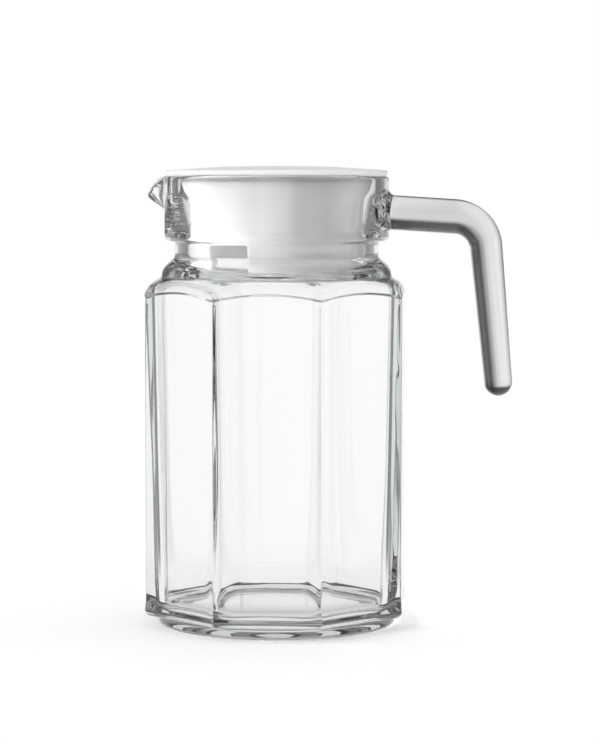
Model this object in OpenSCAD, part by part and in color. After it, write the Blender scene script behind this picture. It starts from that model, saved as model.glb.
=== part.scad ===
// Eight-sided glass jug with a hook handle and a white press-in pouring lid.
// Millimetres, +Z up. The origin is on the jug's axis, in the plane that it stands on.
// The handle points along +X, the beak along -X, and a flat side faces each of them.

/* [Glass body] */
// Number of flat sides
side_count = 8; // [6:1:12]
// Distance across two opposite flat sides
across_flats = 102; // [80:0.5:130]
// How far the rounded corners reach past the flat sides, measured from the axis
corner_reach = 3.9; // [1:0.1:4]
// Height of the line where the shoulder starts, above the table
body_h = 133.7; // [100:0.1:180]
// Glass thickness of a flat side below the shoulder
side_wall = 5.4; // [3:0.1:7]
// Glass thickness of a flat side at the inner floor
low_wall = 8.4; // [5:0.1:10]
// How far the cavity's rounded corners reach past its flat sides
inner_corner = 3; // [1:0.1:3.4]
// Height of the inner floor above the table
floor_h = 6.6; // [5:0.1:12]
// Rounding between the inner floor and the inner walls
floor_round = 5; // [3:0.5:10]

/* [Foot] */
// How far the foot ring stands in from the flat sides
foot_in = 3.4; // [2:0.1:8]
// Height of the foot ring
foot_h = 4.6; // [2:0.1:6]
// Radius of the foot ring's lower outer edge
foot_round = 1.3; // [0.5:0.1:1.4]
// Width of the flat ring that touches the table
land_w = 4.4; // [2:0.1:8]
// Height of the hollow under the jug
punt_h = 1.6; // [0.6:0.1:3]
// Height of the rounded heel between the foot ring and the flat sides
heel_h = 3; // [1:0.1:8]
// How far the heel draws the flat sides in at the foot ring
heel_in = 2.6; // [1:0.1:3]

/* [Shoulder and neck] */
// Height of the sloping shoulder
shoulder_h = 5.1; // [3:0.1:12]
// How far the shoulder draws in from the rounded corners
shoulder_in = 8.6; // [5:0.1:12]
// Glass thickness of the shoulder, square to its slope
shoulder_wall = 3.4; // [3:0.1:6]
// How far the bead between the shoulder and the neck leans in
bead_in = 0.6; // [0.2:0.1:2]
// Height of the bead, from the shoulder to the neck groove
bead_h = 7.9; // [6.5:0.1:14]
// Depth of the neck groove behind the bead
neck_in = 4.9; // [3:0.1:7]
// Height of the neck groove
neck_h = 6.2; // [3:0.1:12]
// Glass thickness of the neck at its groove
neck_wall = 5.2; // [4:0.1:7]

/* [Collar] */
// Glass thickness of the collar
collar_wall = 5.3; // [4:0.1:7]
// How much wider the collar's bore is than the neck's bore, on the radius
ledge_w = 4; // [2:0.1:6]
// Height of the collar
collar_h = 26.2; // [22:0.1:40]
// Height over which the neck's bore widens to the collar's bore
ledge_h = 18; // [2:0.5:19]
// Rounding of the rim's two edges
rim_round = 1.4; // [0.5:0.1:2]

/* [Beak] */
// How far the pouring beak stands out of the collar
beak_reach = 6.9; // [4:0.1:12]
// Radius of the beak where it leaves the collar
beak_root_r = 10.5; // [8:0.1:14]
// Rounding of the beak's tip
beak_tip_r = 2.6; // [2:0.1:4]
// Drop of the beak's tip below the rim
beak_drop = 5.4; // [3:0.1:8]
// Height of the beak's underside, from its lowest point to the rim
beak_h = 18; // [14:0.1:22]
// Radius of the pouring channel inside the collar
channel_r = 8.6; // [6:0.1:9]
// Radius of the pouring channel at the tip
channel_tip_r = 5; // [3:0.1:6]

/* [Handle] */
// Distance from the collar to the corner of the handle's centre line
arm_len = 37.5; // [32:0.1:50]
// Depth of the arm's centre line below the rim, at the collar
arm_drop = 14.5; // [12:0.1:16]
// Angle that the arm slopes down
arm_slope = 3.6; // [0:0.1:8]
// Angle that the grip leans outwards from upright
grip_lean = 5.4; // [0:0.1:8]
// Length of the grip below the corner of the centre line
grip_len = 71; // [55:0.5:90]
// Bend radius of the centre line
bend_r = 13; // [11:0.5:18]
// Height of the arm's section
arm_t = 13.8; // [10:0.1:15]
// Thickness of the grip at its free end
grip_t = 11.4; // [9:0.1:14]
// Width of the handle from side to side, at the arm
arm_w = 17; // [12:0.5:22]
// Width of the handle from side to side, at its free end
grip_w = 13.5; // [10:0.5:18]
// How far the root of the arm flares out where it is welded on
root_flare = 1.3; // [0:0.1:2]

/* [Lid] */
// How far the cap's edge stands in from the collar
cap_in = 0.5; // [0:0.1:2]
// Thickness of the cap at its edge
cap_t = 2; // [1.5:0.1:4]
// Rise of the cap's crown above its edge
cap_crown = 1.9; // [0:0.1:4]
// Depth of the plug below the cap
plug_h = 41.6; // [32:0.1:44]
// Wall thickness of the plug
plug_wall = 2.2; // [1.2:0.1:2.8]
// Gap between the plug's flared top and the collar's bore
top_gap = 0.4; // [0.2:0.1:1]
// Gap between the plug and the neck's bore
neck_gap = 0.5; // [0.2:0.1:1]
// How much the plug narrows from the neck down to its lower edge
plug_taper = 1.1; // [0.2:0.1:2]
// Height of the plug's flared top
flare_h = 18; // [10:0.5:22]
// Width of the pouring gate in the plug
gate_w = 16; // [10:0.5:22]
// Height of the pouring gate
gate_h = 15.6; // [6:0.1:18]
// Rounding of the gate's upper corners
gate_round = 1.5; // [0.5:0.1:3]
// Turn of the gate from the beak when the lid is closed
gate_turn = 63; // [30:1:180]
// Depth of the cap's ring that the plug turns on
ring_h = 5.5; // [4:0.1:8]
// Wall thickness of the cap's ring
ring_wall = 1.6; // [1.2:0.1:2.5]
// How far the snap bead stands out of the cap's ring
snap_t = 0.5; // [0.3:0.1:0.8]

/* [Hidden] */
$fn = 96;

// Heights above the table
shoulder_z = body_h + shoulder_h;
neck_z = shoulder_z + bead_h;
collar_z = neck_z + neck_h;
rim_z = collar_z + collar_h;

// Radii, from the jug's axis
side_r = across_flats / 2;
body_r = side_r + corner_reach;
foot_r = side_r - foot_in;
shoulder_top_r = body_r - shoulder_in;
bead_r = shoulder_top_r - bead_in;
neck_r = bead_r - neck_in;
neck_in_r = neck_r - neck_wall;
collar_in_r = neck_in_r + ledge_w;
collar_r = collar_in_r + collar_wall;
handle_reach = collar_r + arm_len;
cap_r = collar_r - cap_in;

// Running clearances: cap on rim, plug on ring, and the overrun of every cut
seat_gap = 0.1;
turn_gap = 0.08;
over = 1;

// Small roundings of the glass and of the lid
glass_round = 0.8;
bead_round = 5;
shoulder_round = 2;
collar_round = 1.6;
inner_round = 4;
cap_round = 0.7;
plug_round = 0.5;
land_round = 0.8;
arc_steps = 5;

// Colours as the object shows them
glass_colour = [0.86, 0.93, 0.91, 0.4];
lid_colour = [0.93, 0.93, 0.92];

// Outlines: each point is a radius, a height and the rounding of that corner
function unit(v) = v / norm(v);

function corner(a, b, c, radius) =
    let (u = unit(a - b), v = unit(c - b), half = acos(u * v) / 2,
         centre = b + unit(u + v) * radius / sin(half),
         p = b + u * radius / tan(half) - centre,
         q = b + v * radius / tan(half) - centre,
         start = atan2(p.y, p.x),
         swing = atan2(q.y, q.x) - start,
         turn = swing > 180 ? swing - 360 : swing < -180 ? swing + 360 : swing)
    [for (i = [0:arc_steps])
        let (a = start + turn * i / arc_steps) centre + radius * [cos(a), sin(a)]];

function flat2(p) = [p.x, p.y];

function rounded(outline) =
    let (n = len(outline))
    [for (i = [0:n - 1])
        let (p = outline[i], before = outline[(i + n - 1) % n], after = outline[(i + 1) % n])
        each p.z > 0 ? corner(flat2(before), flat2(p), flat2(after), p.z) : [flat2(p)]];

// Outside of the glass
land_in_r = foot_r - foot_round - land_w;
punt_in_share = 0.75;
heel_steps = 5;

// The heel is a quarter ellipse, the same for the flat sides and for their rounded corners
heel_angles = [for (i = [0:heel_steps]) 90 * i / heel_steps];
function heel_side(a) = side_r - heel_in * (1 - sin(a));
function heel_height(a) = foot_h + heel_h * (1 - cos(a));
heel = [for (a = heel_angles) [heel_side(a) * body_r / side_r, heel_height(a), 0]];

foot_outline = [
    [0, punt_h, 0],
    [land_in_r * punt_in_share, punt_h, glass_round],
    [land_in_r, 0, land_round],
    [foot_r, 0, foot_round],
    [foot_r, foot_h, 0],
    [foot_r - foot_round, foot_h, 0],
    [foot_r - foot_round, foot_h + over, 0],
    [0, foot_h + over, 0]];

glass_outline = concat(
    [[0, foot_h, 0]],
    heel,
    [[body_r, body_h, shoulder_round],
     [shoulder_top_r, shoulder_z, glass_round],
     [bead_r, neck_z - (bead_r - neck_r), bead_round],
     [neck_r, neck_z, glass_round],
     [neck_r, collar_z, glass_round],
     [collar_r, collar_z + glass_round, collar_round],
     [collar_r, rim_z, rim_round],
     [0, rim_z, 0]]);

// Inside of the glass: the shoulder's inner slope follows its outer one
slope = atan2(shoulder_h, body_r - shoulder_top_r);
inner_side_r = side_r - side_wall;
inner_low_r = side_r - low_wall;
slope_r = body_r - shoulder_wall * sin(slope);
slope_z = body_h - shoulder_wall * cos(slope);
function slope_height(r) = slope_z + (slope_r - r) * tan(slope);
cavity_top_r = inner_side_r + inner_corner;
bore_z = slope_height(neck_in_r);
draft = atan2(low_wall - side_wall, body_h - floor_h);

cavity_outline = [
    [0, floor_h, 0],
    [inner_low_r + inner_corner, floor_h, floor_round],
    [cavity_top_r, slope_height(cavity_top_r), inner_round],
    [neck_in_r, bore_z, inner_round],
    [neck_in_r, collar_z + glass_round, glass_round],
    [collar_in_r, collar_z + glass_round + ledge_h, glass_round],
    [collar_in_r, rim_z - rim_round, 0],
    [collar_in_r + rim_round, rim_z, 0],
    [collar_in_r + rim_round, rim_z + over, 0],
    [0, rim_z + over, 0]];

// The flat sides and their heel, as a prism with one flat side on +X
module side_prism() {
    levels = concat([for (a = heel_angles) [heel_side(a), heel_height(a)]], [[side_r, rim_z + over]]);
    rings = len(levels);
    points = [for (level = levels, k = [0:side_count - 1])
        let (a = (k + 0.5) * 360 / side_count, r = level.x / cos(180 / side_count))
        [r * cos(a), r * sin(a), level.y]];
    walls = [for (j = [0:rings - 2], k = [0:side_count - 1])
        let (a = j * side_count + k, b = j * side_count + (k + 1) % side_count)
        [a, a + side_count, b + side_count, b]];
    base = [for (k = [0:side_count - 1]) k];
    top = [for (k = [side_count - 1:-1:0]) (rings - 1) * side_count + k];
    polyhedron(points, concat(walls, [base, top]));
}

// Blocks outside the cavity's flat sides, each leaning out with the wall's draft
module inner_sides() {
    for (i = [0:side_count - 1])
        rotate([0, 0, i * 360 / side_count])
            translate([inner_low_r, 0, floor_h])
                rotate([0, draft, 0])
                    translate([0, -body_r, -over * 2])
                        cube([body_r, body_r * 2, rim_z]);
}

module cavity() {
    difference() {
        rotate_extrude() polygon(rounded(cavity_outline));
        inner_sides();
    }
}

// Pouring beak: a rounded wedge on the collar with an open channel over its tip
beak_tip_x = collar_r + beak_reach - beak_tip_r;
beak_tip_z = rim_z - beak_drop - beak_tip_r;
beak_fn = 32;

module beak() {
    hull($fn = beak_fn) {
        translate([beak_root_r - collar_r - over, 0, rim_z - beak_h / 2])
            cylinder(h = beak_h / 2, r = beak_root_r);
        translate([beak_root_r - collar_r, 0, rim_z - beak_h + beak_root_r])
            sphere(r = beak_root_r);
        translate([-beak_tip_x, 0, beak_tip_z])
            sphere(r = beak_tip_r);
    }
}

module channel() {
    hull($fn = beak_fn) {
        translate([channel_r - collar_in_r, 0, rim_z + over])
            sphere(r = channel_r);
        translate([-beak_tip_x - beak_tip_r, 0, rim_z - beak_drop + channel_tip_r])
            sphere(r = channel_tip_r);
    }
}

module jug_body() {
    color(glass_colour)
        difference() {
            union() {
                rotate_extrude() polygon(rounded(foot_outline));
                intersection() {
                    rotate_extrude() polygon(rounded(glass_outline));
                    side_prism();
                }
                intersection() {
                    beak();
                    translate([0, 0, collar_z]) cylinder(h = collar_h, r = body_r);
                }
            }
            cavity();
            channel();
        }
}

// Handle: an oval section swept along a centre line of arm, bend and grip
section_sides = 24;
bend_steps = 12;
grip_steps = 7;
tip_steps = 6;
arm_steps = 4;
arm_z = rim_z - arm_drop;
corner_point = [handle_reach, arm_z - (handle_reach - collar_r) * tan(arm_slope)];
bend_turn = 90 - arm_slope - grip_lean;
bend_reach = bend_r * tan(bend_turn / 2);
arm_dir = [cos(arm_slope), -sin(arm_slope)];
grip_dir = [sin(grip_lean), -cos(grip_lean)];
arm_end = corner_point - arm_dir * bend_reach;
grip_start = corner_point + grip_dir * bend_reach;
bend_centre = arm_end + bend_r * [-sin(arm_slope), -cos(arm_slope)];
weld_depth = 4;
arm_start = corner_point - arm_dir * (handle_reach - collar_r + weld_depth);
flare_len = 4;
tip_len = grip_t / 2;
grip_end = corner_point + grip_dir * (grip_len - tip_len);

// A station is a place on the centre line, its direction, and the section's two half sizes
function mix(a, b, share) = a + (b - a) * share;
function half_t(share) = mix(arm_t, grip_t, share) / 2;
function half_w(share) = mix(arm_w, grip_w, share) / 2;
flare_shares = [0, 0.25, 0.5, 0.75, 1];

root_stations = [for (s = flare_shares)
    [arm_start + arm_dir * (weld_depth - root_flare / 2 + flare_len * s), arm_slope,
     half_t(0) + root_flare * pow(1 - s, 2), half_w(0) + root_flare * pow(1 - s, 2)]];
arm_stations = [for (i = [1:arm_steps])
    let (p = mix(arm_start + arm_dir * (weld_depth + flare_len), arm_end, i / (arm_steps + 1)))
    [p, arm_slope, half_t(0), half_w(0)]];
bend_share = 0.3;
bend_stations = [for (i = [0:bend_steps])
    let (a = arm_slope + bend_turn * i / bend_steps, s = bend_share * i / bend_steps)
    [bend_centre + bend_r * [sin(a), cos(a)], a, half_t(s), half_w(s)]];
grip_stations = [for (i = [1:grip_steps])
    let (k = i / grip_steps, s = mix(bend_share, 1, k))
    [mix(grip_start, grip_end, k), arm_slope + bend_turn, half_t(s), half_w(s)]];
tip_stations = [for (i = [1:tip_steps])
    let (a = 90 * i / (tip_steps + 1))
    [grip_end + grip_dir * tip_len * sin(a), arm_slope + bend_turn,
     half_t(1) * cos(a), half_w(1) * cos(a)]];
stations = concat(
    [[arm_start, arm_slope, half_t(0) + root_flare, half_w(0) + root_flare]],
    root_stations, arm_stations, bend_stations, grip_stations, tip_stations);

function ring(station) =
    [for (k = [0:section_sides - 1])
        let (a = 360 * k / section_sides, up = cos(a) * station[2], across = sin(a) * station[3])
        [station[0].x + up * sin(station[1]), across, station[0].y + up * cos(station[1])]];

module sweep(stations) {
    rings = len(stations);
    last = grip_end + grip_dir * tip_len;
    points = concat(
        [for (s = stations) each ring(s)],
        [[stations[0][0].x, 0, stations[0][0].y], [last.x, 0, last.y]]);
    root = rings * section_sides;
    faces = concat(
        [for (j = [0:rings - 2], k = [0:section_sides - 1])
            let (a = j * section_sides + k, b = j * section_sides + (k + 1) % section_sides)
            each [[a, b, b + section_sides], [a, b + section_sides, a + section_sides]]],
        [for (k = [0:section_sides - 1]) [(k + 1) % section_sides, k, root]],
        [for (k = [0:section_sides - 1])
            let (first = (rings - 1) * section_sides)
            [first + k, first + (k + 1) % section_sides, root + 1]]);
    polyhedron(points, faces);
}

module handle() {
    color(glass_colour)
        difference() {
            sweep(stations);
            translate([0, 0, collar_z]) cylinder(h = collar_h, r = collar_r);
        }
}

// Lid cap: a crowned disc with a ring under it that the plug snaps onto
cap_z = rim_z + seat_gap;
plug_top_r = collar_in_r - top_gap;
plug_neck_r = neck_in_r - neck_gap;
plug_bottom_z = cap_z - plug_h;
ring_r = plug_neck_r - plug_wall;
crown_steps = 8;

crown = [for (i = [0:crown_steps])
    let (s = 1 - i / crown_steps)
    [(cap_r - cap_round) * s, cap_z + cap_t + cap_crown * (1 - s * s), 0]];

ring_low_z = cap_z - ring_h;
snap_z = cap_z - ring_h + snap_t * 2;

module lid_cap() {
    color(lid_colour)
        rotate_extrude()
            polygon(rounded(concat(
                [[0, cap_z, 0],
                 [ring_r - ring_wall, cap_z, 0],
                 [ring_r - ring_wall, ring_low_z, 0],
                 [ring_r, ring_low_z, 0],
                 [ring_r, snap_z - snap_t, 0],
                 [ring_r + snap_t, snap_z, 0],
                 [ring_r, snap_z + snap_t, 0],
                 [ring_r, cap_z, 0],
                 [cap_r, cap_z, cap_round],
                 [cap_r, cap_z + cap_t, cap_round]],
                crown)));
}

// Lid plug: a tapered sleeve under the cap, with a gate to pour through
hub_r = ring_r + turn_gap;
hub_wall = plug_wall + turn_gap;
flare_z = cap_z - flare_h;
hub_h = ring_h + snap_t;
neck_mid_z = neck_z + neck_h / 2;

// The flared top narrows along a curve that ends level with the sleeve
flare_steps = 8;
flare_out = [for (i = [0:flare_steps])
    let (s = i / flare_steps)
    [plug_neck_r + (plug_top_r - plug_neck_r) * s * s, mix(flare_z, cap_z - turn_gap, s), 0]];
flare_in = [for (i = [flare_steps:-1:0])
    let (s = i / flare_steps, low = mix(flare_z, cap_z - hub_h - plug_wall, s))
    [mix(plug_neck_r - plug_wall, hub_r, s), low, 0]];

plug_outline = concat(
    [[plug_neck_r - plug_taper - plug_wall, plug_bottom_z, 0],
     [plug_neck_r - plug_taper, plug_bottom_z, plug_round],
     [plug_neck_r, neck_mid_z, 0]],
    flare_out,
    [[hub_r, cap_z - turn_gap, 0],
     [hub_r, snap_z + snap_t, 0],
     [hub_r + snap_t, snap_z, 0],
     [hub_r, snap_z - snap_t, 0]],
    flare_in,
    [[plug_neck_r - plug_wall, neck_mid_z, 0]]);

// The gate's outline, with its foot below the plug's lower edge, cut from the axis outwards
gate_outline = [
    [-gate_w / 2, -over, 0],
    [gate_w / 2, -over, 0],
    [gate_w / 2, gate_h, gate_round],
    [-gate_w / 2, gate_h, gate_round]];

module gate() {
    rotate([0, 0, 180 + gate_turn])
        translate([0, 0, plug_bottom_z])
            rotate([90, 0, 90])
                linear_extrude(plug_top_r)
                    polygon(rounded(gate_outline));
}

module lid_plug() {
    color(lid_colour)
        difference() {
            rotate_extrude() polygon(rounded(plug_outline));
            gate();
        }
}

jug_body();
handle();
lid_cap();
lid_plug();
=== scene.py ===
import math

import bmesh
import bpy
from mathutils import Matrix, Vector


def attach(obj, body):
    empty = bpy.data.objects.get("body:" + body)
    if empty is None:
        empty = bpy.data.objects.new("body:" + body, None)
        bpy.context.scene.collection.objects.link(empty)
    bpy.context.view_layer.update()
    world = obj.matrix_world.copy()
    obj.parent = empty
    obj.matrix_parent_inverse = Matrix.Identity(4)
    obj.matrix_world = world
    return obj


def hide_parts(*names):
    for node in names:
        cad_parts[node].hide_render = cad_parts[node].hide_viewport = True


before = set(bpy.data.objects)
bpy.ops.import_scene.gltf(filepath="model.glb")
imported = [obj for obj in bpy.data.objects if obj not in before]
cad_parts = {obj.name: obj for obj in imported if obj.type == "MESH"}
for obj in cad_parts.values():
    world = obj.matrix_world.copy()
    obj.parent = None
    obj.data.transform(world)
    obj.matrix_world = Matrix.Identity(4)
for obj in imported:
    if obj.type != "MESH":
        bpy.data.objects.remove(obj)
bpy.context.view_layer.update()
scene = bpy.context.scene
scene.view_settings.view_transform = "Standard"
mm = 0.001
perMetre = 1000       # over a wave's length in mm, gives the scale of a noise
mergeGap = 0.0005     # mm, closes the seams and poles of what is spun
print("frame loaded:", ", ".join(sorted(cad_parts)))


def newObject(name, bm, material):
    bmesh.ops.scale(bm, vec=(mm, mm, mm), verts=bm.verts)
    for face in bm.faces:
        face.smooth = True
    mesh = bpy.data.meshes.new(name)
    bm.to_mesh(mesh)
    bm.free()
    mesh.materials.append(material)
    piece = bpy.data.objects.new(name, mesh)
    scene.collection.objects.link(piece)
    return piece


def drawProfile(bm, points, layer=None):
    chain = []
    for point in points:
        vert = bm.verts.new((point[0], 0, point[1]))
        if layer:
            vert[layer] = point[3]
        chain.append(vert)
    for a, b in zip(chain, chain[1:]):
        bm.edges.new((a, b))
    for vert, point in zip(chain, points):
        if point[2] > 0:
            roundCorner(bm, vert, point[2])


def roundCorner(bm, vert, radius):
    # a vertex bevel measures along the edges, so the radius is turned into that length
    arms = [(e.other_vert(vert).co - vert.co).normalized() for e in vert.link_edges]
    half = arms[0].angle(arms[1]) / 2
    turn = math.pi - 2 * half
    segments = max(3, round(turn * 5))
    bmesh.ops.bevel(bm, geom=[vert], offset=radius / math.tan(half), offset_type="OFFSET",
                    segments=segments, profile=0.5, affect="VERTICES", material=-1)


def cutLong(bm, longest):
    groups = {}
    for edge in bm.edges:
        middle = (edge.verts[0].co + edge.verts[1].co) / 2
        cuts = math.ceil(edge.calc_length() / longest(middle.z, middle.x)) - 1
        if cuts > 0:
            groups.setdefault(cuts, []).append(edge)
    for cuts, edges in groups.items():
        bmesh.ops.subdivide_edges(bm, edges=edges, cuts=cuts)


def spinRound(bm, steps):
    bmesh.ops.spin(bm, geom=bm.verts[:] + bm.edges[:], cent=(0, 0, 0), axis=(0, 0, 1),
                   dvec=(0, 0, 0), angle=math.tau, steps=steps, use_merge=True, use_duplicate=False)
    bmesh.ops.remove_doubles(bm, verts=bm.verts, dist=mergeGap)
    bmesh.ops.recalc_face_normals(bm, faces=bm.faces)


def spinSectors(bm, sectors, steps):
    # one wedge is spun, the others are its copies, and the seams are merged
    wedge = math.tau / sectors
    bmesh.ops.rotate(bm, verts=bm.verts, cent=(0, 0, 0), matrix=Matrix.Rotation(-wedge / 2, 3, "Z"))
    bmesh.ops.spin(bm, geom=bm.verts[:] + bm.edges[:], cent=(0, 0, 0), axis=(0, 0, 1),
                   dvec=(0, 0, 0), angle=wedge, steps=steps, use_merge=False, use_duplicate=False)
    bmesh.ops.spin(bm, geom=bm.verts[:] + bm.edges[:] + bm.faces[:], cent=(0, 0, 0), axis=(0, 0, 1),
                   dvec=(0, 0, 0), angle=math.tau - wedge, steps=sectors - 1,
                   use_merge=False, use_duplicate=True)
    bmesh.ops.remove_doubles(bm, verts=bm.verts, dist=mergeGap)
    bmesh.ops.recalc_face_normals(bm, faces=bm.faces)


def smoothStep(value):
    value = min(1, max(0, value))
    return value * value * (3 - 2 * value)


def rampBetween(value, low, high):
    return min(1, max(0, (value - low) / (high - low)))


cameraPlace = {
    "turn": 3.75,         # degrees from straight ahead, towards the handle
    "distance": 1050,     # from the jug's axis
    "height": 179.5,
    "aside": 9.3,         # the jug stands a little left of the middle
    "tilt": 4.3,
    "lens": 127.0}

turn = math.radians(cameraPlace["turn"])
aheadDir = Vector((-math.sin(turn), math.cos(turn), 0))
rightDir = Vector((math.cos(turn), math.sin(turn), 0))
camera = bpy.data.objects.new("camera", bpy.data.cameras.new("camera"))
scene.collection.objects.link(camera)
camera.location = (rightDir * cameraPlace["aside"] - aheadDir * cameraPlace["distance"]
                   + Vector((0, 0, cameraPlace["height"]))) * mm
camera.rotation_euler = (math.radians(90 - cameraPlace["tilt"]), 0, turn)
camera.data.lens = cameraPlace["lens"]
camera.data.sensor_width = 36
camera.data.clip_start = 0.05
camera.data.clip_end = 40
scene.camera = camera
print("camera placed")


def newMaterial(name):
    material = bpy.data.materials.new(name)
    material.use_nodes = True
    return material, material.node_tree.nodes, material.node_tree.links


def makeWaves():
    # soft unevenness of a moulded surface, from long waves with a little short grain in them
    group = bpy.data.node_groups.new("mouldedSurface", "ShaderNodeTree")
    for name, value in (("Long", 50.0), ("Short", 900.0), ("Grain", 0.1)):
        socket = group.interface.new_socket(name, in_out="INPUT", socket_type="NodeSocketFloat")
        socket.default_value = value
    for name in ("Height", "Patches"):
        group.interface.new_socket(name, in_out="OUTPUT", socket_type="NodeSocketFloat")
    nodes, links = group.nodes, group.links
    given, result = nodes.new("NodeGroupInput"), nodes.new("NodeGroupOutput")
    place = nodes.new("ShaderNodeTexCoord")
    waves, grain = nodes.new("ShaderNodeTexNoise"), nodes.new("ShaderNodeTexNoise")
    waves.inputs["Detail"].default_value = 1
    grain.inputs["Detail"].default_value = 2
    for noise, size in ((waves, "Long"), (grain, "Short")):
        links.new(place.outputs["Object"], noise.inputs["Vector"])
        links.new(given.outputs[size], noise.inputs["Scale"])
    height = nodes.new("ShaderNodeMath")
    height.operation = "MULTIPLY_ADD"
    links.new(grain.outputs["Fac"], height.inputs[0])
    links.new(given.outputs["Grain"], height.inputs[1])
    links.new(waves.outputs["Fac"], height.inputs[2])
    links.new(height.outputs[0], result.inputs["Height"])
    links.new(waves.outputs["Fac"], result.inputs["Patches"])
    return group


def addWaves(nodes, links, shader, long, short, grain, depth):
    surface = nodes.new("ShaderNodeGroup")
    surface.node_tree = mouldedSurface
    surface.inputs["Long"].default_value = long
    surface.inputs["Short"].default_value = short
    surface.inputs["Grain"].default_value = grain
    bump = nodes.new("ShaderNodeBump")
    bump.inputs["Distance"].default_value = depth * mm
    links.new(surface.outputs["Height"], bump.inputs["Height"])
    links.new(bump.outputs["Normal"], shader.inputs["Normal"])
    return surface


glassLook = {
    "ior": 1.5, "roughness": 0.0,
    "absorb": (0.46, 0.55, 0.52, 1),         # what a long way through the glass leaves over
    "absorbDensity": 4.5,
    "waveLength": 16, "waveDepth": 0.03,     # mm
    "shortScale": 400, "grain": 0}           # the grain is off on fire polished glass


def makeGlass():
    material, nodes, links = newMaterial("clearPressedGlass")
    shader = nodes["Principled BSDF"]
    shader.inputs["Base Color"].default_value = (1, 1, 1, 1)
    shader.inputs["Transmission Weight"].default_value = 1
    shader.inputs["IOR"].default_value = glassLook["ior"]
    shader.inputs["Roughness"].default_value = glassLook["roughness"]
    addWaves(nodes, links, shader, perMetre / glassLook["waveLength"], glassLook["shortScale"],
             glassLook["grain"], glassLook["waveDepth"])
    depth = nodes.new("ShaderNodeVolumeAbsorption")
    depth.inputs["Color"].default_value = glassLook["absorb"]
    depth.inputs["Density"].default_value = glassLook["absorbDensity"]
    links.new(depth.outputs["Volume"], nodes["Material Output"].inputs["Volume"])
    return material


plasticLook = {
    "colour": (0.90, 0.90, 0.895, 1), "colourWorn": (0.87, 0.868, 0.86, 1),
    "roughness": (0.34, 0.48), "patches": (0.3, 0.7),
    "glow": 0.6, "glowRadius": (5, 4.8, 4.6),            # mm, light that spreads inside the thin wall
    "flowLength": 24, "grainLength": 0.7, "grain": 0.16, "depth": 0.05}     # mm, but grain is a share


def makePlastic():
    material, nodes, links = newMaterial("whiteMouldedPlastic")
    shader = nodes["Principled BSDF"]
    shader.inputs["Subsurface Weight"].default_value = plasticLook["glow"]
    shader.inputs["Subsurface Radius"].default_value = plasticLook["glowRadius"]
    shader.inputs["Subsurface Scale"].default_value = mm
    surface = addWaves(nodes, links, shader, perMetre / plasticLook["flowLength"],
                       perMetre / plasticLook["grainLength"], plasticLook["grain"], plasticLook["depth"])
    colour = nodes.new("ShaderNodeMix")
    colour.data_type = "RGBA"
    links.new(surface.outputs["Patches"], colour.inputs["Factor"])
    colour.inputs["A"].default_value = plasticLook["colour"]
    colour.inputs["B"].default_value = plasticLook["colourWorn"]
    links.new(colour.outputs["Result"], shader.inputs["Base Color"])
    rough = nodes.new("ShaderNodeMapRange")
    links.new(surface.outputs["Patches"], rough.inputs["Value"])
    rough.inputs["From Min"].default_value, rough.inputs["From Max"].default_value = plasticLook["patches"]
    rough.inputs["To Min"].default_value, rough.inputs["To Max"].default_value = plasticLook["roughness"]
    links.new(rough.outputs["Result"], shader.inputs["Roughness"])
    return material


mouldedSurface = makeWaves()
glassMaterial = makeGlass()
plasticMaterial = makePlastic()
print("materials made")


# mm; R is a radius and Z a height over the table
jug = {
    "sides": 8, "columns": 256,
    "flat": 51.0, "cornerRound": 0.8,            # outside: half across flats, and the ridge rounding
    "flatInside": 45.6, "draft": 3.0, "draftHeight": 127,
    "cornerInside": 5.5, "cornerInsideLow": 13.0, "cornerLowZ": (12, 70),     # wider towards the floor
    "shoulderZ": 133.7, "creaseRound": 4.0, "innerTopZ": 133.9,
    "shoulderTopR": 46.2, "shoulderTopZ": 138.8,
    "beadR": 45.6, "beadZ": 142.4, "neckR": 40.8, "neckZ": 146.9,
    "collarR": 44.9, "collarZ": 152.9, "rimZ": 179.1,
    "boreR": 35.6, "collarBoreR": 39.6, "floorZ": 6.6,
    "footR": 47.6, "underZ": 4.6, "ringInR": 41.9, "hollowR": 31, "hollowZ": 1.6,
    "recess": 0.42, "recessStep": 0.75,          # the sides lie a little back from the shoulder's edge
    "recessLowZ": 7, "recessLowStep": 6,
    "softenings": 14, "knobZ": (129, 137.4), "knobShare": 0.8,
    "crowding": 0.8, "crowdTopZ": 140, "crowdFade": 10}     # how much the columns gather at the ridges

# where round turns to eight-sided: radii on each wall, below and above middleZ
press = {
    "middleZ": 60,
    "insideLow": (20, 40.5), "insideHigh": (38, 46.5), "insideTopZ": 141.4,
    "outsideLow": (48.2, 51.9), "outsideHigh": (47.0, 52.6), "outsideTopZ": 139.2,
    "archZ": (70, 126)}                          # over this height the arches grow in


def apexOf(flat, rounding):
    return (flat - rounding) / math.cos(math.pi / jug["sides"]) + rounding


def sideRadius(angle, flat, rounding):
    half = math.pi / jug["sides"]
    off = abs((angle + half) % (2 * half) - half)
    centre = (flat - rounding) / math.cos(half)
    if off < math.atan2(centre * math.sin(half), flat):
        return flat / math.cos(off)
    rest = half - off
    return centre * math.cos(rest) + math.sqrt(rounding ** 2 - (centre * math.sin(rest)) ** 2)


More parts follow.
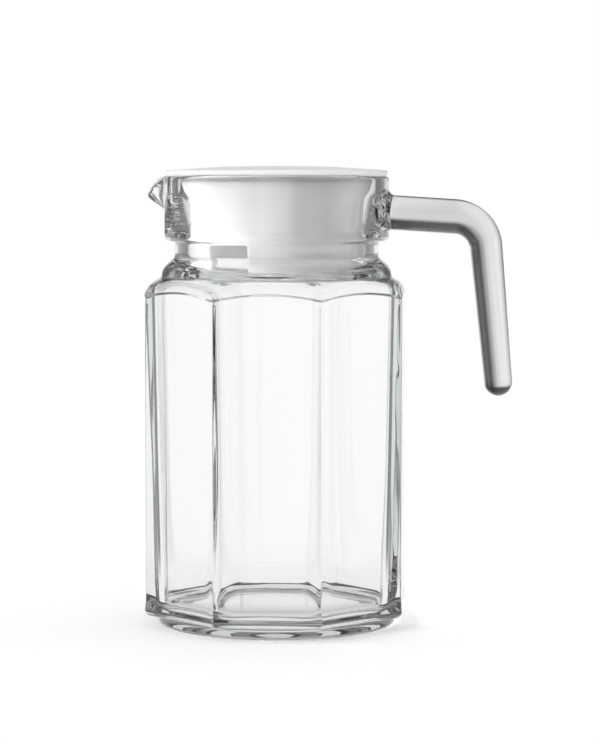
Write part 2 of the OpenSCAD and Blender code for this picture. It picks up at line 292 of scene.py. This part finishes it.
def jugProfile():
    # radius, height, rounding, and 1 on the inner wall; from under the foot up to the rim and down inside
    apex = apexOf(jug["flat"], jug["cornerRound"])
    lowIn = apexOf(jug["flatInside"] - jug["draft"], jug["cornerInsideLow"])
    topIn = apexOf(jug["flatInside"], jug["cornerInside"])
    return [
        (0, jug["hollowZ"], 0, 0),
        (jug["hollowR"], jug["hollowZ"], 6, 0),
        (jug["ringInR"], 0, 1.6, 0),
        (jug["footR"], 0, 1.3, 0),
        (jug["footR"], jug["underZ"], 0.6, 0),
        (apex, jug["underZ"] + 0.15, 2.9, 0),
        (apex, jug["shoulderZ"] - 5, 0, 0),
        (apex, jug["shoulderZ"], jug["creaseRound"], 0),
        (jug["shoulderTopR"], jug["shoulderTopZ"], 1.0, 0),
        (jug["beadR"], jug["beadZ"], 5.0, 0),
        (jug["neckR"], jug["neckZ"], 1.6, 0),
        (jug["neckR"], jug["collarZ"] - 0.2, 1.2, 0),
        (jug["collarR"], jug["collarZ"] + 0.7, 1.9, 0),
        (jug["collarR"], jug["rimZ"], 1.5, 0),
        (jug["collarBoreR"], jug["rimZ"], 1.5, 1),
        (jug["collarBoreR"], 171.7, 8.0, 1),
        (jug["boreR"], 153.7, 8.0, 1),
        (jug["boreR"], 141.2, 4.0, 1),
        (topIn, jug["innerTopZ"], 3.2, 1),
        (lowIn, jug["floorZ"], 5.0, 1),
        (0, jug["floorZ"], 0, 1)]


def jugStep(height, radius):
    # short rows at the shoulder's edge, where the side steps back, and long ones on the straight walls
    if radius < 30:
        return 3.0
    if radius > 52 and 128 < height < jug["shoulderZ"]:
        return 0.25
    if 14 < height < 72:
        return 2.5
    if 14 < height < 126:
        return 5.0
    return 1.15


shoulderRun = apexOf(jug["flat"], jug["cornerRound"]) - jug["shoulderTopR"]
slopeRise = (jug["shoulderTopZ"] - jug["shoulderZ"]) / shoulderRun


def pressSides(radius, angle, height, inside):
    wall = "inside" if inside else "outside"
    share = rampBetween(radius, *press[wall + ("Low" if height < press["middleZ"] else "High")])
    if height > press[wall + "TopZ"]:
        share = 0
    if inside:
        down = rampBetween(jug["innerTopZ"] - height, 0, jug["draftHeight"])
        flat = jug["flatInside"] - jug["draft"] * down
        lowZ, highZ = jug["cornerLowZ"]
        low = smoothStep((highZ - height) / (highZ - lowZ))
        corner = jug["cornerInside"] + (jug["cornerInsideLow"] - jug["cornerInside"]) * low
        drop = apexOf(flat, corner) - sideRadius(angle, flat, corner)
    else:
        apex = apexOf(jug["flat"], jug["cornerRound"])
        drop = apex - sideRadius(angle, jug["flat"], jug["cornerRound"])
        edge = jug["shoulderZ"] - jug["creaseRound"] * 0.5
        back = smoothStep((edge - height) / jug["recessStep"])
        back *= smoothStep((height - jug["recessLowZ"]) / jug["recessLowStep"])
        radius -= jug["recess"] * back
    rise = drop * share * slopeRise * rampBetween(height, *press["archZ"])
    return radius - drop * share, height + rise


beak = {
    "reach": 6.8, "drop": 7.0, "halfWidth": 11.5, "startZ": 160.6,     # mm
    "innerReach": 9.2,                                                 # of the channel in it
    "swell": (0.36, 0.56), "innerSwell": (0.3, 0.68)}                  # where it begins, and over what share


def pullBeak(radius, angle, height, inside):
    side = angle % math.tau - math.pi
    across = abs(side) * jug["collarR"]
    if height < beak["startZ"] or across > beak["halfWidth"]:
        return radius, height
    bell = math.cos(math.pi / 2 * across / beak["halfWidth"]) ** 2
    up = rampBetween(height, beak["startZ"], jug["rimZ"])
    begin, span = beak["innerSwell"] if inside else beak["swell"]
    push = (beak["innerReach"] if inside else beak["reach"]) * smoothStep((up - begin) / span)
    return radius + push * bell, height - beak["drop"] * bell ** 2 * up


handle = {
    "armZ": 164.6, "armSlope": 3.6, "armThick": 13.8, "armWide": 17.0,     # mm and degrees
    "cornerX": 82.39, "bendR": 13.0, "gripLean": 5.4, "gripLength": 71.0,
    "gripThick": 11.4, "gripWide": 13.5, "rootFillet": 1.6,
    "taperAtBend": 0.3, "tipLength": 0.52,       # shares: of the taper, and of the grip's thickness
    "touch": 0.02,                               # mm, what still counts as on the collar
    "ovalFade": 0.45,                            # of the opening's half size, for the grid around the weld
    "filletRows": 6, "armRows": 12, "roundRows": 5, "bendRows": 20, "gripRows": 25, "tipRows": 12}


def handleStations():
    slope, lean = math.radians(handle["armSlope"]), math.radians(handle["gripLean"])
    turnBy = math.pi / 2 - slope - lean
    reach = handle["bendR"] * math.tan(turnBy / 2)
    startX = jug["collarR"]
    corner = Vector((handle["cornerX"], handle["armZ"] - (handle["cornerX"] - startX) * math.tan(slope)))
    armDir = Vector((math.cos(slope), -math.sin(slope)))
    gripDir = Vector((math.sin(lean), -math.cos(lean)))
    start = corner - armDir * (handle["cornerX"] - startX) / math.cos(slope)
    armEnd, gripStart = corner - armDir * reach, corner + gripDir * reach
    bendCentre = armEnd + handle["bendR"] * Vector((-math.sin(slope), -math.cos(slope)))
    tip = handle["gripThick"] * handle["tipLength"]
    gripEnd = corner + gripDir * (handle["gripLength"] - tip)

    def sizes(share):
        return ((handle["armThick"] + (handle["gripThick"] - handle["armThick"]) * share) / 2,
                (handle["armWide"] + (handle["gripWide"] - handle["armWide"]) * share) / 2)

    # place, direction, half thickness, half width, and how far the ring still follows the round collar
    stations = []
    fillet = handle["rootFillet"]
    thick, wide = sizes(0)
    rows = handle["filletRows"]
    for k in range(1, rows + 1):
        bend = math.pi / 2 * k / rows
        grow = fillet * (1 - math.sin(bend))
        place = start + armDir * fillet * (1 - math.cos(bend))
        stations.append((place, slope, thick + grow, wide + grow, 1))
    rows = handle["armRows"]
    for k in range(1, rows):
        place = start + armDir * fillet
        place = place + (armEnd - place) * k / rows
        stations.append((place, slope, thick, wide, 1 - smoothStep(k / handle["roundRows"])))
    rows, atBend = handle["bendRows"], handle["taperAtBend"]
    for k in range(0, rows + 1):
        angle = slope + turnBy * k / rows
        place = bendCentre + handle["bendR"] * Vector((math.sin(angle), math.cos(angle)))
        stations.append((place, angle, *sizes(atBend * k / rows), 0))
    rows = handle["gripRows"]
    for k in range(1, rows + 1):
        share = k / rows
        place = gripStart + (gripEnd - gripStart) * share
        stations.append((place, slope + turnBy, *sizes(atBend + (1 - atBend) * share), 0))
    thick, wide = sizes(1)
    rows = handle["tipRows"]
    for k in range(1, rows + 1):
        bend = math.pi / 2 * k / (rows + 0.5)
        stations.append((gripEnd + gripDir * tip * math.sin(bend), slope + turnBy,
                         thick * math.cos(bend), wide * math.cos(bend), 0))
    return stations, gripEnd + gripDir * tip


def rootShift(across):
    # how far the round collar lies behind its foremost line, this far to the side
    return math.sqrt(jug["collarR"] ** 2 - across ** 2) - jug["collarR"]


def makeJug():
    bm = bmesh.new()
    sideMark = bm.verts.layers.float.new("inside")
    drawProfile(bm, jugProfile(), sideMark)
    # corners that a bevel made take the mark of the wall that they are in
    for vert in bm.verts:
        vert[sideMark] = 1 if vert[sideMark] > 0.5 else 0
    cutLong(bm, jugStep)
    markInside(bm, sideMark)
    spinSectors(bm, jug["sides"], jug["columns"] // jug["sides"])
    half = math.pi / jug["sides"]
    for vert in bm.verts:
        radius, height = math.hypot(vert.co.x, vert.co.y), vert.co.z
        angle = math.atan2(vert.co.y, vert.co.x)
        inside = vert[sideMark] > 0.5
        crowd = jug["crowding"] * (1 - smoothStep((height - jug["crowdTopZ"]) / jug["crowdFade"]))
        facet = round(angle / (2 * half))
        off = (angle - facet * 2 * half) / half
        angle = (facet * 2 + (1 - crowd) * off + crowd * math.sin(off * math.pi / 2)) * half
        radius, height = pressSides(radius, angle, height, inside)
        radius, height = pullBeak(radius, angle, height, inside)
        vert.co = (radius * math.cos(angle), radius * math.sin(angle), height)
    softenCorners(bm, sideMark)
    weldHandle(bm, sideMark)
    bmesh.ops.recalc_face_normals(bm, faces=bm.faces)
    return newObject("jugGlass", bm, glassMaterial)


def softenCorners(bm, sideMark):
    # where a ridge runs into the shoulder the glass flowed round, wider than along the arches
    half = math.pi / jug["sides"]
    lowZ, highZ = jug["knobZ"]
    knobs = []
    for vert in bm.verts:
        off = abs((math.atan2(vert.co.y, vert.co.x) + half) % (2 * half) - half) / half
        if vert[sideMark] < 0.5 and off > jug["knobShare"] and lowZ < vert.co.z < highZ:
            knobs.append(vert)
    for k in range(jug["softenings"]):
        bmesh.ops.smooth_vert(bm, verts=knobs, factor=0.5,
                              use_axis_x=True, use_axis_y=True, use_axis_z=True)


def markInside(bm, sideMark):
    # from the foot along the profile: past the middle of the rim it is the inner wall
    ends = [v for v in bm.verts if len(v.link_edges) == 1]
    vert = min(ends, key=lambda v: v.co.z)
    edge, inside = None, 0
    rimMiddle = (jug["collarR"] + jug["collarBoreR"]) / 2
    while True:
        if inside == 0 and vert.co.z > jug["rimZ"] - 0.01 and vert.co.x < rimMiddle:
            inside = 1
        vert[sideMark] = inside
        onward = [e for e in vert.link_edges if e is not edge]
        if not onward:
            return
        edge = onward[0]
        vert = edge.other_vert(vert)


def weldHandle(bm, sideMark):
    stations, tipPoint = handleStations()
    tall = handle["armThick"] / 2 + handle["rootFillet"]
    wide = handle["armWide"] / 2 + handle["rootFillet"]
    middle = handle["armZ"]

    def spread(co):
        return co.y / wide, (co.z - middle) / tall

    def onCollar(vert):
        offCollar = abs(math.hypot(vert.co.x, vert.co.y) - jug["collarR"])
        return vert[sideMark] < 0.5 and vert.co.x > 0 and offCollar < handle["touch"]

    patch = []
    for face in bm.faces:
        if all(onCollar(v) for v in face.verts):
            u, v = spread(face.calc_center_median())
            if max(abs(u), abs(v)) < 1:
                patch.append(face)
    bmesh.ops.delete(bm, geom=patch, context="FACES")
    rim = [e for e in bm.edges if e.is_boundary]
    rimVerts = set(v for e in rim for v in e.verts)
    rimAngle = {}
    # the grid round the opening bends from square to oval
    for vert in bm.verts:
        if not onCollar(vert):
            continue
        u, v = spread(vert.co)
        square, oval = max(abs(u), abs(v)), math.hypot(u, v)
        if vert in rimVerts:
            factor = 1 / oval
            rimAngle[vert] = math.atan2(u, v)
        elif square < 1 + handle["ovalFade"]:
            factor = 1 + (square / oval - 1) * (1 - smoothStep((square - 1) / handle["ovalFade"]))
        else:
            continue
        y, z = u * factor * wide, middle + v * factor * tall
        vert.co = (math.sqrt(jug["collarR"] ** 2 - y * y), y, z)
    # the handle grows in a mesh of its own, which is quicker, and joins the opening at its rim
    arm = bmesh.new()
    around = arm.verts.layers.float.new("around")
    twin = {}
    for vert, angle in rimAngle.items():
        twin[vert] = arm.verts.new(vert.co)
        twin[vert][around] = angle
    loop = [arm.edges.new((twin[e.verts[0]], twin[e.verts[1]])) for e in rim]
    for place, direction, halfThick, halfWide, onRound in stations:
        made = bmesh.ops.extrude_edge_only(arm, edges=loop)["geom"]
        loop = [g for g in made if isinstance(g, bmesh.types.BMEdge) and g.is_boundary]
        for vert in [g for g in made if isinstance(g, bmesh.types.BMVert)]:
            up, across = math.cos(vert[around]) * halfThick, math.sin(vert[around]) * halfWide
            shift = rootShift(across) * onRound
            vert.co = (place.x + up * math.sin(direction) + shift, across,
                       place.y + up * math.cos(direction))
    made = bmesh.ops.extrude_edge_only(arm, edges=loop)["geom"]
    tipVerts = [g for g in made if isinstance(g, bmesh.types.BMVert)]
    bmesh.ops.pointmerge(arm, verts=tipVerts, merge_co=(tipPoint.x, 0, tipPoint.y))
    grown = bpy.data.meshes.new("handleGlass")
    arm.to_mesh(grown)
    arm.free()
    bm.from_mesh(grown)
    bpy.data.meshes.remove(grown)
    bmesh.ops.remove_doubles(bm, verts=[v for v in bm.verts if v.is_boundary], dist=mergeGap)


jugGlass = makeJug()
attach(jugGlass, "jug")
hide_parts("jug_body", "handle")
print("jug made:", len(jugGlass.data.polygons), "faces")


cap = {
    "radius": 44.4, "lowZ": 179.2, "edge": 2.0, "crown": 1.9, "rounding": 0.8,     # mm
    "ringOut": 32.8, "ringIn": 31.3, "ringZ": 173.8,
    "lift": 0.02,                                # keeps the underside off the plug's top
    "columns": 192, "step": 3.0}


def makeCap():
    bm = bmesh.new()
    top, under = cap["lowZ"] + cap["edge"], cap["lowZ"] + cap["lift"]
    drawProfile(bm, [
        (0, under, 0),
        (cap["ringIn"], under, 0.4),
        (cap["ringIn"], cap["ringZ"], 0.3),
        (cap["ringOut"], cap["ringZ"], 0.3),
        (cap["ringOut"], under, 0.4),
        (cap["radius"], under, cap["rounding"]),
        (cap["radius"], top, cap["rounding"]),
        (22, top + cap["crown"] * 0.78, 90),
        (0, top + cap["crown"] - 0.06, 0)])
    cutLong(bm, lambda height, radius: cap["step"])
    spinRound(bm, cap["columns"])
    return newObject("lidCap", bm, plasticMaterial)


plug = {
    "columns": 240, "flareRows": 12, "row": 1.0, "gateRow": 0.3,
    "topR": 39.2, "neckR": 35.1, "lowR": 34.0, "wall": 2.2,     # mm
    "topZ": 179.1, "flareZ": 161.2, "neckZ": 149.8, "lowZ": 137.7,
    "gateTurn": 63,                                             # degrees from the beak
    "gateWide": 16.0, "gateHigh": 15.6, "gateRound": 1.6, "gateFade": 4,
    "ringGap": 0.3, "edgeRound": 0.35, "edgeAngle": 50}


def makePlug():
    bm = bmesh.new()
    flare = []
    for k in range(0, plug["flareRows"] + 1):
        share = k / plug["flareRows"]
        flare.append((plug["neckR"] + (plug["topR"] - plug["neckR"]) * share ** 2,
                      plug["flareZ"] + (plug["topZ"] - plug["flareZ"]) * share, 0))
    gateZ = plug["lowZ"] + plug["gateHigh"]
    roundZ = gateZ - plug["gateRound"]
    drawProfile(bm, [(plug["lowR"], plug["lowZ"], 0), (plug["neckR"], plug["neckZ"], 2),
                     (plug["neckR"], roundZ, 0), (plug["neckR"], gateZ, 0)] + flare
                + [(cap["ringOut"] + plug["ringGap"], plug["topZ"], 0)])
    cutLong(bm, lambda height, radius: plug["gateRow"] if roundZ < height < gateZ else plug["row"])
    spinRound(bm, plug["columns"])
    cutGate(bm, gateZ)
    return newObject("lidPlug", bm, plasticMaterial)


def cutGate(bm, gateZ):
    # columns of the shell bend to the gate's outline, and the faces inside it go
    middle = math.pi + math.radians(plug["gateTurn"])
    column = math.tau / plug["columns"]
    half = round(math.asin(plug["gateWide"] / 2 / plug["lowR"]) / column) * column
    gone = []
    for face in bm.faces:
        centre = face.calc_center_median()
        off = (math.atan2(centre.y, centre.x) - middle + math.pi) % math.tau - math.pi
        if abs(off) < half and centre.z < gateZ:
            gone.append(face)
    bmesh.ops.delete(bm, geom=gone, context="FACES")
    for vert in bm.verts:
        radius, angle = math.hypot(vert.co.x, vert.co.y), math.atan2(vert.co.y, vert.co.x)
        off = (angle - middle + math.pi) % math.tau - math.pi
        near = 1 - smoothStep((abs(off) - half) / half)
        if near <= 0 or vert.co.z > gateZ + plug["gateFade"]:
            continue
        above = vert.co.z - (gateZ - plug["gateRound"])
        inset = plug["gateRound"] - math.sqrt(max(0, plug["gateRound"] ** 2 - max(0, above) ** 2))
        inset *= 1 - smoothStep((vert.co.z - gateZ) / plug["gateFade"])
        wanted = math.asin((plug["gateWide"] / 2 - inset) / radius) / half
        moved = middle + off * (1 + (wanted - 1) * near)
        vert.co.x, vert.co.y = radius * math.cos(moved), radius * math.sin(moved)


lidCap = makeCap()
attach(lidCap, "lid")
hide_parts("lid_cap")

lidPlug = makePlug()
solid = lidPlug.modifiers.new("wall", "SOLIDIFY")
solid.thickness = plug["wall"] * mm
solid.offset = -1
soft = lidPlug.modifiers.new("softEdge", "BEVEL")
soft.width = plug["edgeRound"] * mm
soft.segments = 2
soft.limit_method = "ANGLE"
soft.angle_limit = math.radians(plug["edgeAngle"])
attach(lidPlug, "plug")
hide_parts("lid_plug")
print("lid made")


# lengths in metres, light as linear levels, places of the cards in degrees of a quarter turn
studio = {
    "floorHalf": 6.0,
    "floorColour": (0.8, 0.8, 0.8, 1), "floorGloss": 0.03, "floorRoughness": 0.12,
    "floorFill": 0.24,                           # what the floor adds for the camera, so that it shows white
    "throughNear": 0.93, "paintedShadeUnderJug": 0.78,   # a set light level of the floor seen through glass, and a darker painted shade under the jug
    "underRing": (0.052, 0.062), "nearRing": (0.09, 0.2),
    # painted shade: how dark the floor near the jug looks through the handle's glass
    "handleAt": (0.08, 0, 0), "handleRing": (0.14, 0.22), "paintedShadeNearHandle": 0.15,
    "backdrop": 1.0,
    # light on matt surfaces, in the open and through glass
    "level": 0.76, "levelThroughGlass": 0.42, "top": 0.2, "topFrom": 0.3,
    "key": (-0.83, -0.43, 0.355), "keyFrom": 0.8, "keyTo": 0.98,
    "keyLight": 2.1, "keyThroughGlass": 3.0,
    # what glass and gloss show: cards that stand round the jug every 90 degrees, and a dark ceiling
    "cards": ((0, 0.64), (8, 0.32), (16, 0.06), (38, 0.07), (44, 0.3),
              (56, 0.7), (66, 0.84), (80, 0.80), (90, 0.64)),
    "cardsStraight": ((0, 0.985), (18, 0.97), (32, 0.86), (45, 0.9),
                      (58, 0.86), (72, 0.97), (90, 0.985)),
    "cardsThrough": ((0, 0.985), (12, 0.94), (22, 0.2), (66, 0.2), (76, 0.94), (90, 0.985)),
    "quarter": 90,
    "highFrom": 0.12, "highTo": 0.3, "highDepth": 0.95}


def mathNode(tree, operation, first, second, third=None):
    node = tree.nodes.new("ShaderNodeMath")
    node.operation = operation
    for k, value in enumerate((first, second, third)):
        if value is None:
            continue
        if isinstance(value, (int, float)):
            node.inputs[k].default_value = value
        else:
            tree.links.new(value, node.inputs[k])
    return node.outputs[0]


def smoothBetween(tree, value, low, high):
    node = tree.nodes.new("ShaderNodeMapRange")
    node.interpolation_type = "SMOOTHSTEP"
    tree.links.new(value, node.inputs["Value"])
    node.inputs["From Min"].default_value = low
    node.inputs["From Max"].default_value = high
    return node.outputs["Result"]


def mixValues(tree, share, first, second):
    node = tree.nodes.new("ShaderNodeMix")
    for value, socket in ((share, "Factor"), (first, "A"), (second, "B")):
        if isinstance(value, (int, float)):
            node.inputs[socket].default_value = value
        else:
            tree.links.new(value, node.inputs[socket])
    return node.outputs["Result"]


def cardsAt(tree, azimuth, stops):
    # a curve through the stops, as a colour ramp over a quarter turn
    whole = studio["quarter"]
    ramp = tree.nodes.new("ShaderNodeValToRGB")
    tree.links.new(mathNode(tree, "DIVIDE", azimuth, whole), ramp.inputs["Fac"])
    ramp.color_ramp.interpolation = "EASE"
    marks = ramp.color_ramp.elements
    for k, (place, light) in enumerate(stops):
        mark = marks[k] if k < 2 else marks.new(place / whole)
        mark.position = place / whole
        mark.color = (light, light, light, 1)
    return ramp.outputs["Color"]


def vectorMath(tree, operation, vector, fixed=None):
    node = tree.nodes.new("ShaderNodeVectorMath")
    node.operation = operation
    tree.links.new(vector, node.inputs[0])
    if fixed:
        node.inputs[1].default_value = fixed
    return node


def azimuthRound(tree, vector):
    # degrees from +Y towards +X, repeated every quarter turn, because the cards stand round the jug
    split = tree.nodes.new("ShaderNodeSeparateXYZ")
    tree.links.new(vector, split.inputs[0])
    angle = mathNode(tree, "ARCTAN2", split.outputs["X"], split.outputs["Y"])
    degrees = mathNode(tree, "MULTIPLY_ADD", angle, 180 / math.pi, 360)
    return mathNode(tree, "MODULO", degrees, studio["quarter"])


def hasMet(tree, path, depth):
    # 1 once the ray's path has such a bounce in it
    return smoothBetween(tree, path.outputs[depth], 0.4, 0.6)


def solidGlass(tree, path):
    # 1 where a ray went through one solid piece of glass without a turn inside it
    return mathNode(tree, "MULTIPLY", mathNode(tree, "LESS_THAN", path.outputs["Transmission Depth"], 2.5),
                    mathNode(tree, "LESS_THAN", path.outputs["Glossy Depth"], 0.5))


def bodyCards(tree, path, azimuth):
    # dark cards only in what a surface has mirrored, so nothing dark stands straight behind the jug
    return mixValues(tree, hasMet(tree, path, "Glossy Depth"),
                     cardsAt(tree, azimuth, studio["cardsStraight"]),
                     cardsAt(tree, azimuth, studio["cardsThrough"]))


def makeFloor():
    bm = bmesh.new()
    bmesh.ops.create_grid(bm, x_segments=2, y_segments=2, size=studio["floorHalf"] / mm)
    material, nodes, links = newMaterial("paleFloor")
    nodes.remove(nodes["Principled BSDF"])
    tree = material.node_tree
    matt = nodes.new("ShaderNodeBsdfDiffuse")
    matt.inputs["Color"].default_value = studio["floorColour"]
    path = nodes.new("ShaderNodeLightPath")
    # fill and cards are for what looks at the floor: what lights a matt surface is the plain floor
    direct = mathNode(tree, "SUBTRACT", 1, hasMet(tree, path, "Diffuse Depth"))
    seen = mathNode(tree, "MAXIMUM", path.outputs["Is Camera Ray"], path.outputs["Is Glossy Ray"])
    seen = mathNode(tree, "MULTIPLY", seen, direct)
    place = nodes.new("ShaderNodeTexCoord").outputs["Object"]
    away = vectorMath(tree, "LENGTH", place).outputs["Value"]
    under = mathNode(tree, "SUBTRACT", 1, smoothBetween(tree, away, *studio["underRing"]))
    fill = nodes.new("ShaderNodeEmission")
    links.new(mathNode(tree, "MULTIPLY", seen, studio["floorFill"]), fill.inputs["Strength"])
    both = nodes.new("ShaderNodeAddShader")
    links.new(matt.outputs[0], both.inputs[0])
    links.new(fill.outputs[0], both.inputs[1])
    gloss = nodes.new("ShaderNodeBsdfGlossy")
    gloss.inputs["Roughness"].default_value = studio["floorRoughness"]
    mixed = nodes.new("ShaderNodeMixShader")
    mixed.inputs[0].default_value = studio["floorGloss"]
    links.new(both.outputs[0], mixed.inputs[1])
    links.new(gloss.outputs[0], mixed.inputs[2])
    # through the jug's walls the floor isn't lit but painted: a set light level near by, painted shade under
    # the jug, and the jug's cards far off
    near = mathNode(tree, "MULTIPLY_ADD", under, studio["paintedShadeUnderJug"] - studio["throughNear"],
                    studio["throughNear"])
    walls = mixValues(tree, smoothBetween(tree, away, *studio["nearRing"]), near,
                      bodyCards(tree, path, azimuthRound(tree, place)))
    # through the handle's solid glass the floor isn't lit but painted: the full cards far off, and painted
    # shade near by
    handleGlass = mathNode(tree, "MULTIPLY", solidGlass(tree, path), mathNode(tree, "SUBTRACT", 1, under))
    fromHandle = vectorMath(tree, "SUBTRACT", place, studio["handleAt"]).outputs["Vector"]
    handleAway = vectorMath(tree, "LENGTH", fromHandle).outputs["Value"]
    paintedShadeDim = mathNode(tree, "MULTIPLY_ADD", smoothBetween(tree, handleAway, *studio["handleRing"]),
                   1 - studio["paintedShadeNearHandle"], studio["paintedShadeNearHandle"])
    full = cardsAt(tree, azimuthRound(tree, fromHandle), studio["cards"])
    card = nodes.new("ShaderNodeEmission")
    links.new(mixValues(tree, handleGlass, walls, mathNode(tree, "MULTIPLY", full, paintedShadeDim)),
              card.inputs["Strength"])
    chosen = nodes.new("ShaderNodeMixShader")
    links.new(mathNode(tree, "MULTIPLY", path.outputs["Is Transmission Ray"], direct), chosen.inputs[0])
    links.new(mixed.outputs[0], chosen.inputs[1])
    links.new(card.outputs[0], chosen.inputs[2])
    links.new(chosen.outputs[0], nodes["Material Output"].inputs["Surface"])
    newObject("floor", bm, material)


def makeWorld():
    world = bpy.data.worlds.new("studio")
    scene.world = world
    world.use_nodes = True
    tree = world.node_tree
    tree.nodes.clear()
    output = tree.nodes.new("ShaderNodeOutputWorld")
    background = tree.nodes.new("ShaderNodeBackground")
    background.inputs["Color"].default_value = (1, 1, 1, 1)
    tree.links.new(background.outputs[0], output.inputs["Surface"])
    direction = tree.nodes.new("ShaderNodeTexCoord").outputs["Generated"]
    path = tree.nodes.new("ShaderNodeLightPath")
    upward = vectorMath(tree, "DOT_PRODUCT", direction, (0, 0, 1)).outputs["Value"]
    # matt surfaces: an even level, a soft key from the left and a little more from above
    towardKey = vectorMath(tree, "DOT_PRODUCT", direction, studio["key"]).outputs["Value"]
    key = smoothBetween(tree, towardKey, studio["keyFrom"], studio["keyTo"])
    throughGlass = hasMet(tree, path, "Transmission Depth")
    keyLight = mathNode(tree, "MULTIPLY", mathNode(tree, "MULTIPLY", key, studio["keyLight"]),
                        mathNode(tree, "MULTIPLY_ADD", throughGlass, studio["keyThroughGlass"] - 1, 1))
    above = smoothBetween(tree, upward, studio["topFrom"], 1.0)
    even = mathNode(tree, "MULTIPLY_ADD", above, studio["top"], studio["level"])
    even = mathNode(tree, "MULTIPLY", even,
                    mathNode(tree, "MULTIPLY_ADD", throughGlass, studio["levelThroughGlass"] - 1, 1))
    matt = mathNode(tree, "ADD", keyLight, even)
    # glass and gloss
    azimuth = azimuthRound(tree, direction)
    cards = mixValues(tree, solidGlass(tree, path), bodyCards(tree, path, azimuth),
                      cardsAt(tree, azimuth, studio["cards"]))
    ceiling = smoothBetween(tree, upward, studio["highFrom"], studio["highTo"])
    highLight = mathNode(tree, "SUBTRACT", 1, mathNode(tree, "MULTIPLY", ceiling, studio["highDepth"]))
    glassy = mathNode(tree, "MULTIPLY", cards, highLight)
    level = mixValues(tree, hasMet(tree, path, "Diffuse Depth"), glassy, matt)
    tree.links.new(mixValues(tree, path.outputs["Is Camera Ray"], level, studio["backdrop"]),
                   background.inputs["Strength"])


makeFloor()
makeWorld()
scene.cycles.use_denoising = True
scene.cycles.blur_glossy = 0.0
scene.cycles.max_bounces = 48
scene.cycles.transmission_bounces = 32
scene.cycles.glossy_bounces = 16
scene.cycles.diffuse_bounces = 16
scene.cycles.transparent_max_bounces = 16
print("studio made")
